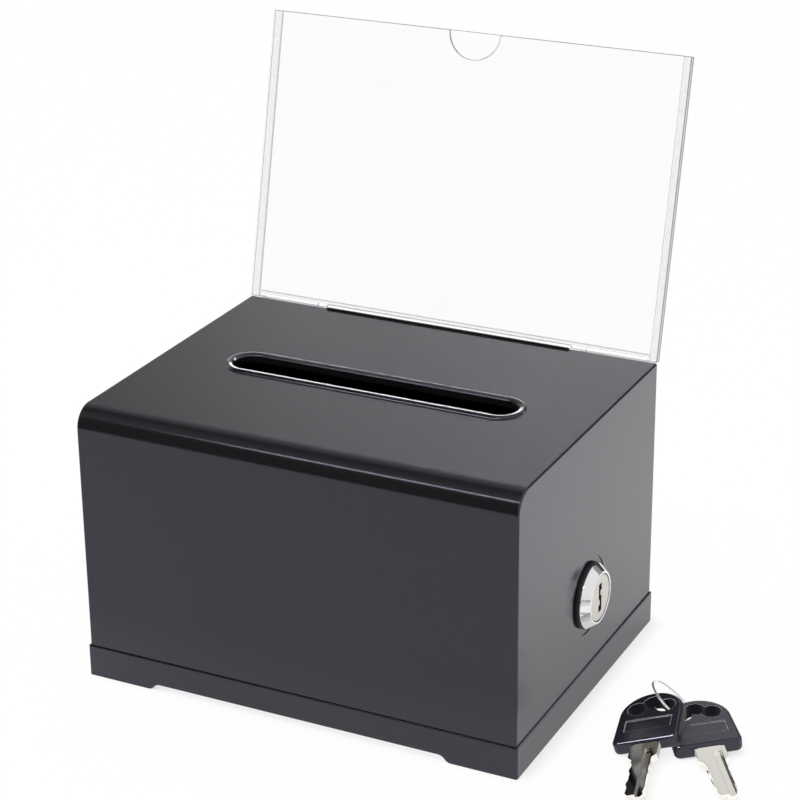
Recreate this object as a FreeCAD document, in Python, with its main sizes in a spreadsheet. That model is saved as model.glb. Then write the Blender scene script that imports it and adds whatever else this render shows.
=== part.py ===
import FreeCAD, Part
import math
import os
import types

import Sketcher

# Ballot box: a moulded cover with a posting slot stands on a base tray,
# hooks on at the left and locks at the right.
# A clear sign holder plugs into the rear of the cover, and two keys on a ring lie beside the box.
# Millimetres and degrees. The origin is the middle of the base's bottom rim, X right, Y back, Z up.

doc = FreeCAD.newDocument("BallotBox")
sheet = doc.addObject("Spreadsheet::Sheet", "Dimensions")

# Every driving size, written once and read back from the sheet.
driving = {
    # box
    "box_width": 160, "box_depth": 119, "box_height": 99, "seam_height": 11.5, "seam_gap": 0.1,
    "cover_inset": 0.6, "cover_wall": 2.2, "front_round": 7.5, "edge_round": 0.7,
    # base tray
    "base_wall": 2.2, "base_floor": 2.2, "corner_round": 0.8, "foot_length": 23.2, "foot_rise": 2.3,
    "foot_run": 4.7, "lip_gap": 0.3, "lip_wall": 1.8, "lip_height": 5,
    # hooks that hold the left side of the cover
    "hook_spacing": 60, "hook_width": 14, "hook_reach": 1.3, "hook_tip": 0.7, "hook_drop": 1.1,
    "hook_play": 0.3, "hook_pocket_drop": 0.5,
    # posting slot
    "slot_length": 105.6, "slot_width": 12.8, "slot_back": 0.5, "rim_width": 2.6, "rim_height": 0.9,
    "rim_outer_round": 0.5, "rim_inner_round": 0.9,
    # low rail along the rear of the cover, between the feet of the sign
    "rail_height": 1.1, "rail_thickness": 0.9, "rail_set_back": 0.8, "rail_end_gap": 0.3, "rail_round": 0.3,
    # cam lock
    "lock_height": 37.9, "recess_diameter": 27.5, "recess_depth": 0.3, "spacer_thickness": 1.3,
    "spacer_diameter": 23, "bezel_diameter": 22.5, "bezel_edge": 0.6, "bezel_cone": 2.7,
    "bezel_rim_diameter": 18, "barrel_diameter": 18, "barrel_flats": 16, "barrel_length": 27,
    "barrel_play": 0.15, "plug_flange_diameter": 16.3, "plug_flange": 1.7, "plug_sink": 0.25,
    "plug_diameter": 12.6, "plug_play": 0.07, "plug_proud": 0.3,
    "washer_diameter": 24, "washer_thickness": 0.6, "nut_across_flats": 24, "nut_thickness": 4,
    "keyway_height": 9.9, "keyway_width": 2.3, "keyway_end_wall": 0.4, "ward_depth": 1, "ward_low": 0.5,
    "ward_high": 2.7, "ward_play": 0.1,
    "wafer_count": 7, "wafer_first": 6, "wafer_tip_room": 4, "wafer_thickness": 0.9, "wafer_width": 7,
    "wafer_height": 10.4, "wafer_play": 0.1, "wafer_window_width": 3.6, "wafer_window_play": 0.25,
    "tang_square": 7, "cam_thickness": 2, "cam_play": 0.1, "cam_eye_radius": 7, "cam_width": 8,
    "cam_length": 22, "cam_washer_diameter": 11, "screw_diameter": 4, "screw_head_diameter": 7,
    "screw_head_height": 2.2, "screw_grip": 3.6, "screw_slot": 1,
    # catch on the base that the cam turns under
    "catch_near": 13, "catch_length": 10, "catch_blade": 2.4, "catch_roof": 2.4, "catch_clearance": 0.6,
    "catch_stand_off": 4, "catch_overhang": 2.4, "gusset_run": 12, "gusset_rise": 20,
    "gusset_thickness": 2.4,
    # sign holder
    "sign_tilt": 13.4, "sign_set_back": 1, "sign_layer": 1, "sign_end_gap": 0.1, "sign_lift_off": 0.34,
    "sign_card_height": 101.6, "sign_bottom_strip": 2.4, "sign_side_strip": 3.1, "sign_foot_length": 31.7,
    "sign_foot_rise": 1, "sign_notch_radius": 9.5, "tongue_width": 22, "tongue_depth": 8,
    "tongue_from_end": 15.9,
    # sockets on the rear of the cover
    "socket_width": 28, "socket_depth": 3.4, "socket_drop": 1.6, "socket_height": 9.5, "socket_play": 0.2,
    # keys
    "key_width": 22.4, "key_dome_radius": 10.8, "key_dome_centre": 16.2, "key_thickness": 4.8,
    "key_edge_round": 1.2, "key_corner_round": 2.2, "lobe_radius": 3.35, "middle_lobe_radius": 3.2,
    "lobe_across": 4.9, "lobe_along": 18.4, "middle_lobe_along": 21, "panel_width": 15.6,
    "panel_height": 6, "panel_centre": 9.2, "panel_depth": 0.4, "blade_thickness": 2.1,
    "blade_root_width": 9.7, "blade_width": 7.6, "blade_length": 27.4, "blade_gap": 0.1, "bit_step": 0.45,
    "blade_tip_width": 6, "blade_tip_flat": 4, "blade_tip_run": 1.3, "tang_width": 7.4, "tang_length": 11,
    "tang_play": 0.05, "groove_start": 3,
    # how the keys lie beside the right wall
    "key_1_from_wall": 32.83, "key_1_along": -29.99, "key_1_rise": 2.9, "key_1_pitch": 5.4,
    "key_1_roll": -17.5, "key_1_turn": 11.55, "key_2_from_wall": 50.55, "key_2_along": -20.78,
    "key_2_rise": 0.96, "key_2_pitch": 1.12, "key_2_roll": -5.54, "key_2_turn": 32.22,
    "ring_radius": 9.07, "ring_wire": 0.9, "ring_from_wall": 31.14, "ring_along": -2.43, "ring_rise": 6.5,
    "ring_lean": 41.04, "ring_turn": 117.22,
}
for number, (name, value) in enumerate(driving.items(), start=1):
    sheet.set("A%d" % number, name)
    sheet.set("B%d" % number, str(value))
    sheet.setAlias("B%d" % number, name)
doc.recompute()


class Size:
    """A size that carries its spreadsheet expression and its present value through arithmetic."""

    def __init__(self, text, value):
        self.text = text
        self.value = value

    def __add__(self, other):
        other = as_size(other)
        return Size("(%s + %s)" % (self.text, other.text), self.value + other.value)

    def __sub__(self, other):
        other = as_size(other)
        return Size("(%s - %s)" % (self.text, other.text), self.value - other.value)

    def __mul__(self, other):
        other = as_size(other)
        return Size("(%s * %s)" % (self.text, other.text), self.value * other.value)

    def __truediv__(self, other):
        other = as_size(other)
        return Size("(%s / %s)" % (self.text, other.text), self.value / other.value)

    def __neg__(self):
        return Size("(0 - %s)" % self.text, -self.value)

    def __rsub__(self, other):
        return as_size(other) - self

    __radd__ = __add__
    __rmul__ = __mul__


def as_size(number):
    if isinstance(number, Size):
        return number
    return Size("(%r)" % float(number), float(number))


def sine(angle):
    return Size("sin(%s)" % angle.text, math.sin(math.radians(angle.value)))


def cosine(angle):
    return Size("cos(%s)" % angle.text, math.cos(math.radians(angle.value)))


def root(square):
    return Size("sqrt(%s)" % square.text, math.sqrt(square.value))


def bind(item, name, size):
    item.setExpression(name, as_size(size).text)


d = types.SimpleNamespace()
for name in driving:
    setattr(d, name, Size("Dimensions.%s" % name, float(sheet.get(name))))


# Sketch outlines: a loop is a list of steps, each ending at x, y; a step with a centre is an arc.

def rectangle(x_low, x_high, y_low, y_high):
    return [(x_low, y_low), (x_high, y_low), (x_high, y_high), (x_low, y_high)]


def circle(x, y, radius):
    return {"x": as_size(x), "y": as_size(y), "radius": as_size(radius)}


def stadium(half_length, half_width, y):
    straight = half_length - half_width
    return [
        (straight, y - half_width),
        (straight, y + half_width, straight, y, "left"),
        (-straight, y + half_width),
        (-straight, y - half_width, -straight, y, "left"),
    ]


def pin(sketch, kind, geometry, point, size):
    index = sketch.addConstraint(Sketcher.Constraint(kind, -1, 1, geometry, point, size.value))
    sketch.setExpression("Constraints[%d]" % index, size.text)


def draw_circle(sketch, spot):
    centre = FreeCAD.Vector(spot["x"].value, spot["y"].value, 0)
    geometry = sketch.addGeometry(Part.Circle(centre, FreeCAD.Vector(0, 0, 1), spot["radius"].value), False)
    pin(sketch, "DistanceX", geometry, 3, spot["x"])
    pin(sketch, "DistanceY", geometry, 3, spot["y"])
    index = sketch.addConstraint(Sketcher.Constraint("Radius", geometry, spot["radius"].value))
    sketch.setExpression("Constraints[%d]" % index, spot["radius"].text)


def draw_loop(sketch, steps):
    corners = [(as_size(step[0]), as_size(step[1])) for step in steps]
    ends = []
    for number, step in enumerate(steps):
        start = FreeCAD.Vector(corners[number - 1][0].value, corners[number - 1][1].value, 0)
        stop = FreeCAD.Vector(corners[number][0].value, corners[number][1].value, 0)
        if len(step) == 2:
            geometry = sketch.addGeometry(Part.LineSegment(start, stop), False)
            ends.append((geometry, 1, 2))
            continue
        centre_x, centre_y = as_size(step[2]), as_size(step[3])
        centre = FreeCAD.Vector(centre_x.value, centre_y.value, 0)
        first = math.atan2(start.y - centre.y, start.x - centre.x)
        last = math.atan2(stop.y - centre.y, stop.x - centre.x)
        full = Part.Circle(centre, FreeCAD.Vector(0, 0, 1), (start - centre).Length)
        if step[4] == "left":
            geometry = sketch.addGeometry(Part.ArcOfCircle(full, first, last), False)
            ends.append((geometry, 1, 2))
        else:
            geometry = sketch.addGeometry(Part.ArcOfCircle(full, last, first), False)
            ends.append((geometry, 2, 1))
        chord = stop - start
        if abs(chord.y) >= abs(chord.x):
            pin(sketch, "DistanceX", geometry, 3, centre_x)
        else:
            pin(sketch, "DistanceY", geometry, 3, centre_y)
    for number in range(len(steps)):
        geometry, _, stop = ends[number]
        follower, begin, _ = ends[(number + 1) % len(steps)]
        sketch.addConstraint(Sketcher.Constraint("Coincident", geometry, stop, follower, begin))
        pin(sketch, "DistanceX", geometry, stop, corners[number][0])
        pin(sketch, "DistanceY", geometry, stop, corners[number][1])


# Solid features: each prism lies between two positions along the normal of its sketch plane.

def new_body(label):
    body = doc.addObject("PartDesign::Body", label)
    body.Label = label
    return body


def sketch_on(body, name, role, position, loops):
    plane = [item for item in body.Origin.OriginFeatures if item.Role == role][0]
    sketch = body.newObject("Sketcher::SketchObject", name)
    sketch.AttachmentSupport = (plane, [""])
    sketch.MapMode = "FlatFace"
    position = as_size(position)
    bind(sketch, "AttachmentOffset.Base.z", -position if role == "XZ_Plane" else position)
    for loop in loops:
        if isinstance(loop, dict):
            draw_circle(sketch, loop)
        else:
            draw_loop(sketch, loop)
    return sketch


def add_prism(body, name, role, low, high, loops):
    name = "%s_%s" % (body.Label, name)
    start = high if role == "XZ_Plane" else low
    pad = body.newObject("PartDesign::Pad", name)
    sketch = sketch_on(body, name + "_outline", role, start, loops)
    pad.Profile = sketch
    bind(pad, "Length", high - low)
    body.Tip = pad
    doc.recompute()
    return pad


def cut_prism(body, name, role, low, high, loops):
    name = "%s_%s" % (body.Label, name)
    before = body.Shape.Volume
    start = low if role == "XZ_Plane" else high
    pocket = body.newObject("PartDesign::Pocket", name)
    sketch = sketch_on(body, name + "_outline", role, start, loops)
    pocket.Profile = sketch
    bind(pocket, "Length", high - low)
    body.Tip = pocket
    doc.recompute()
    if not body.Shape.Volume < before - 0.01:
        raise RuntimeError("%s removes nothing" % name)
    return pocket


def revolve(body, name, loops):
    name = "%s_%s" % (body.Label, name)
    turned = body.newObject("PartDesign::Revolution", name)
    sketch = sketch_on(body, name + "_outline", "XZ_Plane", 0, loops)
    turned.Profile = sketch
    turned.ReferenceAxis = (sketch, ["H_Axis"])
    turned.Angle = 360
    body.Tip = turned
    doc.recompute()
    return turned


def mirror(body, name, features, role):
    plane = [item for item in body.Origin.OriginFeatures if item.Role == role][0]
    copy = body.newObject("PartDesign::Mirrored", "%s_%s" % (body.Label, name))
    copy.Originals = features
    copy.MirrorPlane = (plane, [""])
    body.Tip = copy
    doc.recompute()
    return copy


def lies_at(edge, **where):
    box = edge.BoundBox
    span = {"x": (box.XMin, box.XMax), "y": (box.YMin, box.YMax), "z": (box.ZMin, box.ZMax)}
    return all(abs(limit - as_size(size).value) < 0.02
               for axis, size in where.items() for limit in span[axis])


def round_edges(body, name, radius, chosen):
    base = body.Tip
    names = ["Edge%d" % number for number, edge in enumerate(base.Shape.Edges, start=1) if chosen(edge)]
    if not names:
        raise RuntimeError("%s finds no edges" % name)
    fillet = body.newObject("PartDesign::Fillet", "%s_%s" % (body.Label, name))
    fillet.Base = (base, names)
    bind(fillet, "Radius", radius)
    body.Tip = fillet
    doc.recompute()
    return fillet


def place(item, x, y, z, *turns):
    """Sets the item down at x, y, z after turning it about the given axes, first turn first."""
    rotation = FreeCAD.Rotation()
    for axis, angle in turns:
        rotation = FreeCAD.Rotation(FreeCAD.Vector(*axis), as_size(angle).value).multiply(rotation)
    spot = FreeCAD.Vector(as_size(x).value, as_size(y).value, as_size(z).value)
    item.Placement = FreeCAD.Placement(spot, rotation)
    for axis, size in (("x", x), ("y", y), ("z", z)):
        bind(item, "Placement.Base.%s" % axis, size)


# Sizes shared by several pieces
half_width = d.box_width / 2
half_depth = d.box_depth / 2
cover_x = half_width - d.cover_inset
cover_y = half_depth - d.cover_inset
inner_x = cover_x - d.cover_wall
inner_y = cover_y - d.cover_wall
lip_x = inner_x - d.lip_gap
lip_y = inner_y - d.lip_gap
cover_bottom = d.seam_height + d.seam_gap
hook_top = d.seam_height + d.lip_height - d.hook_drop
hook_half = d.hook_width / 2
hook_y = d.hook_spacing / 2
sign_top = d.sign_lift_off + d.sign_bottom_strip + d.sign_card_height
sign_half = cover_x - d.sign_end_gap
tongue_x = sign_half - d.tongue_from_end

# Positions along the lock's axis, measured outward from the cover's right face
spacer_out = d.spacer_thickness - d.recess_depth
rim_out = spacer_out + d.bezel_edge + d.bezel_cone
plug_face = rim_out - d.plug_sink
flange_in = plug_face - d.plug_flange
barrel_end = spacer_out - d.barrel_length
plug_end = barrel_end - d.plug_proud
wall_in = -d.cover_wall
nut_near = wall_in - d.washer_thickness
nut_far = nut_near - d.nut_thickness
cam_near = plug_end - d.cam_play / 2
cam_far = cam_near - d.cam_thickness
tang_end = cam_far + d.cam_play
screw_seat = cam_far - d.washer_thickness
keyway_end = plug_face - (d.blade_length - d.groove_start) - d.keyway_end_wall
wafer_pitch = (d.blade_length - d.groove_start - d.wafer_first - d.wafer_tip_room) / (d.wafer_count - 1)
plug_radius = d.plug_diameter / 2
barrel_radius = d.barrel_diameter / 2


def make_base_tray():
    """Tray with a skirt, two front feet, a lip that centres the cover, two hooks and the cam's catch."""
    body = new_body("base_tray")
    floor_under = d.seam_height - d.base_floor
    add_prism(body, "block", "XY_Plane", as_size(0), d.seam_height,
              [rectangle(-half_width, half_width, -half_depth, half_depth)])
    round_edges(body, "corners", d.corner_round,
                lambda e: e.BoundBox.ZLength > d.seam_height.value / 2)
    round_edges(body, "top_edge", d.corner_round / 2,
                lambda e: lies_at(e, z=d.seam_height))
    cut_prism(body, "underside", "XY_Plane", as_size(-1), floor_under,
              [rectangle(-half_width + d.base_wall, half_width - d.base_wall,
                         -half_depth + d.base_wall, half_depth - d.base_wall)])
    foot_in = half_width - d.foot_length
    arch = foot_in - d.foot_run
    bend = (d.foot_run * d.foot_run + d.foot_rise * d.foot_rise) / (4 * d.foot_rise)
    middle = (foot_in + arch) / 2
    cut_prism(body, "front_arch", "XZ_Plane", -half_depth - 1, -half_depth + d.base_wall + 0.2,
              [[(-foot_in, -1),
                (foot_in, -1),
                (foot_in, 0),
                (middle, d.foot_rise / 2, foot_in, bend, "right"),
                (arch, d.foot_rise, arch, d.foot_rise - bend, "left"),
                (-arch, d.foot_rise),
                (-middle, d.foot_rise / 2, -arch, d.foot_rise - bend, "left"),
                (-foot_in, 0, -foot_in, bend, "right")]])
    add_prism(body, "lip", "XY_Plane", d.seam_height - d.base_floor / 2, d.seam_height + d.lip_height,
              [rectangle(-lip_x, lip_x, -lip_y, lip_y),
               rectangle(-lip_x + d.lip_wall, lip_x - d.lip_wall, -lip_y + d.lip_wall, lip_y - d.lip_wall)])
    hook_tip_low = hook_top - d.hook_tip
    hook = add_prism(body, "hook", "XZ_Plane", hook_y - hook_half, hook_y + hook_half,
                     [[(-lip_x + d.lip_wall / 2, hook_tip_low - d.hook_reach),
                       (-lip_x, hook_tip_low - d.hook_reach),
                       (-lip_x - d.hook_reach, hook_tip_low),
                       (-lip_x - d.hook_reach, hook_top),
                       (-lip_x + d.lip_wall / 2, hook_top)]])
    mirror(body, "hook_pair", [hook], "XZ_Plane")
    roof_under = d.lock_height + d.cam_width / 2 + d.catch_clearance
    roof_top = roof_under + d.catch_roof
    blade_out = cover_x + cam_far - d.catch_stand_off
    blade_in = blade_out - d.catch_blade
    catch_end = cover_x + cam_near + d.catch_overhang
    floor_in = d.seam_height - d.base_floor / 2
    add_prism(body, "catch", "XZ_Plane", d.catch_near, d.catch_near + d.catch_length,
              [[(blade_in, floor_in),
                (blade_out, floor_in),
                (blade_out, roof_under),
                (catch_end, roof_under),
                (catch_end, roof_top),
                (blade_in, roof_top)]])
    gusset_y = d.catch_near + d.catch_length / 2
    gusset_half = d.gusset_thickness / 2
    add_prism(body, "gusset", "XZ_Plane", gusset_y - gusset_half, gusset_y + gusset_half,
              [[(blade_in - d.gusset_run, floor_in),
                (blade_out - d.catch_blade / 2, floor_in),
                (blade_out - d.catch_blade / 2, d.seam_height + d.gusset_rise),
                (blade_in, d.seam_height + d.gusset_rise)]])


def make_cover_shell():
    """Five-sided cover with the posting slot, the lock seat, the hook pockets and the two sign sockets."""
    body = new_body("cover_shell")
    radius = d.front_round
    add_prism(body, "block", "YZ_Plane", -cover_x, cover_x,
              [[(-cover_y, cover_bottom),
                (cover_y, cover_bottom),
                (cover_y, d.box_height),
                (-cover_y + radius, d.box_height),
                (-cover_y, d.box_height - radius, -cover_y + radius, d.box_height - radius, "left")]])

    def outer_edge(edge):
        low = edge.BoundBox.ZMax < cover_bottom.value + 1
        on_side = lies_at(edge, x=cover_x) or lies_at(edge, x=-cover_x)
        return (on_side and not low) or lies_at(edge, y=cover_y, z=d.box_height)

    round_edges(body, "outer_edges", d.edge_round, outer_edge)
    inner_radius = radius - d.cover_wall
    inner_top = d.box_height - d.cover_wall
    cut_prism(body, "inside", "YZ_Plane", -inner_x, inner_x,
              [[(-inner_y, cover_bottom - 1),
                (inner_y, cover_bottom - 1),
                (inner_y, inner_top),
                (-inner_y + inner_radius, inner_top),
                (-inner_y, inner_top - inner_radius,
                 -inner_y + inner_radius, inner_top - inner_radius, "left")]])
    slot_x = d.slot_length / 2
    slot_y = d.slot_width / 2
    rim_top = d.box_height + d.rim_height
    add_prism(body, "slot_rim", "XY_Plane", d.box_height - d.cover_wall / 2, rim_top,
              [stadium(slot_x + d.rim_width, slot_y + d.rim_width, d.slot_back)])
    round_edges(body, "slot_rim_edge", d.rim_outer_round, lambda e: lies_at(e, z=rim_top))
    cut_prism(body, "slot", "XY_Plane", inner_top - 1, rim_top + 1, [stadium(slot_x, slot_y, d.slot_back)])

    def funnel_edge(edge):
        reach = slot_y.value + d.rim_width.value / 2
        ends = (edge.BoundBox.YMin, edge.BoundBox.YMax)
        return lies_at(edge, z=rim_top) and all(abs(y - d.slot_back.value) < reach for y in ends)

    round_edges(body, "slot_funnel", d.rim_inner_round, funnel_edge)
    rail_x = sign_foot_x - d.rail_end_gap
    rail_back = cover_y - d.rail_set_back
    rail_top = d.box_height + d.rail_height
    add_prism(body, "sign_rail", "XY_Plane", d.box_height - d.cover_wall / 2, rail_top,
              [rectangle(-rail_x, rail_x, rail_back - d.rail_thickness, rail_back)])
    round_edges(body, "sign_rail_edge", d.rail_round, lambda e: lies_at(e, z=rail_top))
    cut_prism(body, "lock_seat", "YZ_Plane", cover_x - d.recess_depth, cover_x + 1,
              [circle(0, d.lock_height, d.recess_diameter / 2)])
    hole = barrel_radius + d.barrel_play
    flat = d.barrel_flats / 2 + d.barrel_play
    side = root(hole * hole - flat * flat)
    cut_prism(body, "lock_hole", "YZ_Plane", inner_x - 1, cover_x + 1,
              [[(flat, d.lock_height + side),
                (-flat, d.lock_height + side, 0, d.lock_height, "left"),
                (-flat, d.lock_height - side),
                (flat, d.lock_height - side, 0, d.lock_height, "left")]])
    pocket_low = hook_top - d.hook_tip - d.hook_reach - d.hook_pocket_drop
    pocket_high = hook_top + d.hook_play
    pocket_half = hook_half + d.hook_play
    cut_prism(body, "hook_pockets", "YZ_Plane", -inner_x - d.hook_reach, -inner_x + 0.5,
              [rectangle(hook_y - pocket_half, hook_y + pocket_half, pocket_low, pocket_high),
               rectangle(-hook_y - pocket_half, -hook_y + pocket_half, pocket_low, pocket_high)])
    socket_top = d.box_height - d.socket_drop
    socket_low = socket_top - d.socket_height
    socket_half = d.socket_width / 2
    socket = add_prism(body, "socket", "YZ_Plane", tongue_x - socket_half, tongue_x + socket_half,
                       [[(cover_y - d.cover_wall / 2, socket_low - d.socket_depth),
                         (cover_y, socket_low - d.socket_depth),
                         (cover_y + d.socket_depth, socket_low),
                         (cover_y + d.socket_depth, socket_top),
                         (cover_y - d.cover_wall / 2, socket_top)]])
    front = 2 * d.sign_layer - d.socket_play
    back = 3 * d.sign_layer + d.socket_play
    deep = -d.tongue_depth - d.socket_play / 2
    slot_half = d.tongue_width / 2 + d.socket_play
    socket_slot = cut_prism(body, "socket_slot", "YZ_Plane", tongue_x - slot_half, tongue_x + slot_half,
                            [[sign_point(front, deep), sign_point(back, deep),
                              sign_point(back, 4), sign_point(front, 4)]])
    mirror(body, "socket_pair", [socket, socket_slot], "YZ_Plane")


def sign_point(back, up):
    """A point of the leaning sign, given by its depth behind the front face and its height up the sign."""
    y = cover_y - d.sign_set_back + up * sine(d.sign_tilt) + back * cosine(d.sign_tilt)
    z = d.box_height + up * cosine(d.sign_tilt) - back * sine(d.sign_tilt)
    return (y, z)


def on_lock_axis(item):
    place(item, cover_x, as_size(0), d.lock_height)


def make_lock_body():
    """Lock housing: coned bezel and a threaded barrel with two flats, bored for the plug."""
    body = new_body("lock_body")
    flange = d.plug_flange_diameter / 2 + d.plug_play
    bore = plug_radius + d.plug_play
    seat = flange_in - d.plug_play
    revolve(body, "turned",
            [[(barrel_end, bore),
              (seat, bore),
              (seat, flange),
              (rim_out, flange),
              (rim_out, d.bezel_rim_diameter / 2),
              (spacer_out + d.bezel_edge, d.bezel_diameter / 2),
              (spacer_out, d.bezel_diameter / 2),
              (spacer_out, barrel_radius),
              (barrel_end, barrel_radius)]])
    beyond = barrel_radius + 1
    flat = d.barrel_flats / 2
    cut_prism(body, "flats", "YZ_Plane", barrel_end - 1, spacer_out,
              [rectangle(flat, beyond, -beyond, beyond), rectangle(-beyond, -flat, -beyond, beyond)])
    on_lock_axis(body)


def make_ring_plate(label, near, far, outer, inner):
    """A flat round ring about the lock's axis."""
    body = new_body(label)
    add_prism(body, "disc", "YZ_Plane", near, far, [circle(0, 0, outer), circle(0, 0, inner)])
    on_lock_axis(body)
    return body


def make_lock_nut():
    """Hexagon nut that clamps the lock to the wall; its flats face front and back, clear of the catch."""
    body = new_body("lock_nut")
    flat = d.nut_across_flats / 2
    corner = d.nut_across_flats / root(as_size(3))
    add_prism(body, "hexagon", "YZ_Plane", nut_far, nut_near,
              [[(flat, -corner / 2), (flat, corner / 2), (as_size(0), corner),
                (-flat, corner / 2), (-flat, -corner / 2), (as_size(0), -corner)],
               circle(0, 0, barrel_radius + d.barrel_play / 2)])
    on_lock_axis(body)


def make_lock_plug():
    """Turning plug: flange, warded keyway, cross slots for the wafers, square tang and screw hole."""
    body = new_body("lock_plug")
    revolve(body, "turned",
            [[(plug_end, 0),
              (plug_face, 0),
              (plug_face, d.plug_flange_diameter / 2),
              (flange_in, d.plug_flange_diameter / 2),
              (flange_in, plug_radius),
              (plug_end, plug_radius)]])
    half = d.tang_square / 2
    add_prism(body, "tang", "YZ_Plane", tang_end, plug_end + 0.5, [rectangle(-half, half, -half, half)])
    high = d.keyway_height / 2
    side = d.keyway_width / 2
    ward = side - d.ward_depth
    cut_prism(body, "keyway", "YZ_Plane", keyway_end, plug_face + 1,
              [[(-side, -high), (side, -high), (side, d.ward_low), (ward, d.ward_low),
                (ward, d.ward_high), (side, d.ward_high), (side, high), (-side, high),
                (-side, -d.ward_low), (-ward, -d.ward_low), (-ward, -d.ward_high), (-side, -d.ward_high)]])
    for number in range(int(d.wafer_count.value)):
        middle = plug_face - d.wafer_first - wafer_pitch * number
        reach = d.wafer_thickness / 2 + d.wafer_play
        wide = d.wafer_width / 2 + d.wafer_play
        cut_prism(body, "wafer_slot_%d" % (number + 1), "YZ_Plane", middle - reach, middle + reach,
                  [rectangle(-wide, wide, -plug_radius - 1, plug_radius + 1)])
    cut_prism(body, "screw_hole", "YZ_Plane", tang_end - 1, cam_far + d.screw_grip + 0.4,
              [circle(0, 0, d.screw_diameter / 2 + d.plug_play)])
    on_lock_axis(body)


def make_lock_wafers():
    """The row of wafers, each a plate with a window for the key, in one group of separate solids."""
    wafers = []
    for number in range(int(d.wafer_count.value)):
        middle = (plug_face - d.wafer_first - wafer_pitch * number).value
        thick, wide, high = d.wafer_thickness.value, d.wafer_width.value, d.wafer_height.value
        open_wide = d.wafer_window_width.value
        open_high = (d.blade_width + 2 * d.wafer_window_play).value
        plate = Part.makeBox(thick, wide, high, FreeCAD.Vector(middle - thick / 2, -wide / 2, -high / 2))
        window = Part.makeBox(thick + 1, open_wide, open_high,
                              FreeCAD.Vector(middle - thick / 2 - 0.5, -open_wide / 2, -open_high / 2))
        wafers.append(plate.cut(window))
    item = doc.addObject("Part::Feature", "lock_wafers")
    item.Label = "lock_wafers"
    item.Shape = Part.Compound(wafers)
    on_lock_axis(item)


def make_cam_plate():
    """Cam on the square tang; it hangs down when the box is unlocked."""
    body = new_body("cam_plate")
    half = d.cam_width / 2
    eye = d.cam_eye_radius
    neck = root(eye * eye - half * half)
    hole = d.tang_square / 2 + d.cam_play / 2
    add_prism(body, "blank", "YZ_Plane", cam_far, cam_near,
              [[(-half, -d.cam_length), (half, -d.cam_length), (half, -neck),
                (-half, -neck, as_size(0), as_size(0), "left")],
               rectangle(-hole, hole, -hole, hole)])
    round_edges(body, "tip", d.corner_round * 2,
                lambda e: lies_at(e, z=-d.cam_length, y=half) or lies_at(e, z=-d.cam_length, y=-half))
    on_lock_axis(body)


def make_cam_screw():
    """Screw that holds the cam on the plug."""
    body = new_body("cam_screw")
    shank = d.screw_diameter / 2
    head = d.screw_head_diameter / 2
    head_end = screw_seat - d.screw_head_height
    revolve(body, "turned",
            [[(head_end, 0),
              (cam_far + d.screw_grip, 0),
              (cam_far + d.screw_grip, shank),
              (screw_seat, shank),
              (screw_seat, head),
              (head_end, head)]])
    round_edges(body, "head_edge", d.corner_round, lambda e: lies_at(e, x=head_end))
    cut_prism(body, "slot", "YZ_Plane", head_end - 1, head_end + d.screw_head_height / 2,
              [rectangle(-head - 1, head + 1, -d.screw_slot / 2, d.screw_slot / 2)])
    on_lock_axis(body)


# The sign pieces are drawn upright, X across, Y from front to back and Z up the sign, and then leaned back.

def lean(item):
    place(item, as_size(0), cover_y - d.sign_set_back, d.box_height, ((1, 0, 0), -d.sign_tilt))


sign_foot_x = sign_half - d.sign_foot_length
sign_middle_low = d.sign_lift_off + d.sign_foot_rise
sign_strip_x = sign_half - d.sign_side_strip


def make_sign_front_panel():
    """Front sheet with a thumb notch; its two feet stand on the rear edge of the cover."""
    body = new_body("sign_front_panel")
    low = d.sign_lift_off
    add_prism(body, "sheet", "XZ_Plane", as_size(0), d.sign_layer,
              [[(-sign_half, low), (-sign_foot_x, low), (-sign_foot_x, sign_middle_low),
                (sign_foot_x, sign_middle_low), (sign_foot_x, low), (sign_half, low),
                (sign_half, sign_top), (-sign_half, sign_top)]])
    cut_prism(body, "thumb_notch", "XZ_Plane", as_size(-1), d.sign_layer + 1,
              [circle(0, sign_top, d.sign_notch_radius)])
    lean(body)


def make_sign_back_panel():
    """Back sheet with the two tongues that plug into the sockets of the cover."""
    body = new_body("sign_back_panel")
    low = d.sign_lift_off
    out = tongue_x + d.tongue_width / 2
    inside = tongue_x - d.tongue_width / 2
    add_prism(body, "sheet", "XZ_Plane", 2 * d.sign_layer, 3 * d.sign_layer,
              [[(-sign_half, low), (-out, low), (-out, -d.tongue_depth), (-inside, -d.tongue_depth),
                (-inside, sign_middle_low), (inside, sign_middle_low), (inside, -d.tongue_depth),
                (out, -d.tongue_depth), (out, low), (sign_half, low),
                (sign_half, sign_top), (-sign_half, sign_top)]])
    lean(body)


def make_sign_strip(label, x_low, x_high, z_low, z_high):
    """A spacing strip cemented between the two sheets."""
    body = new_body(label)
    add_prism(body, "strip", "XZ_Plane", d.sign_layer, 2 * d.sign_layer,
              [rectangle(x_low, x_high, z_low, z_high)])
    lean(body)


# A key is drawn flat, X across, Y from the shoulder to the far end of the head, Z through the thickness.

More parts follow.
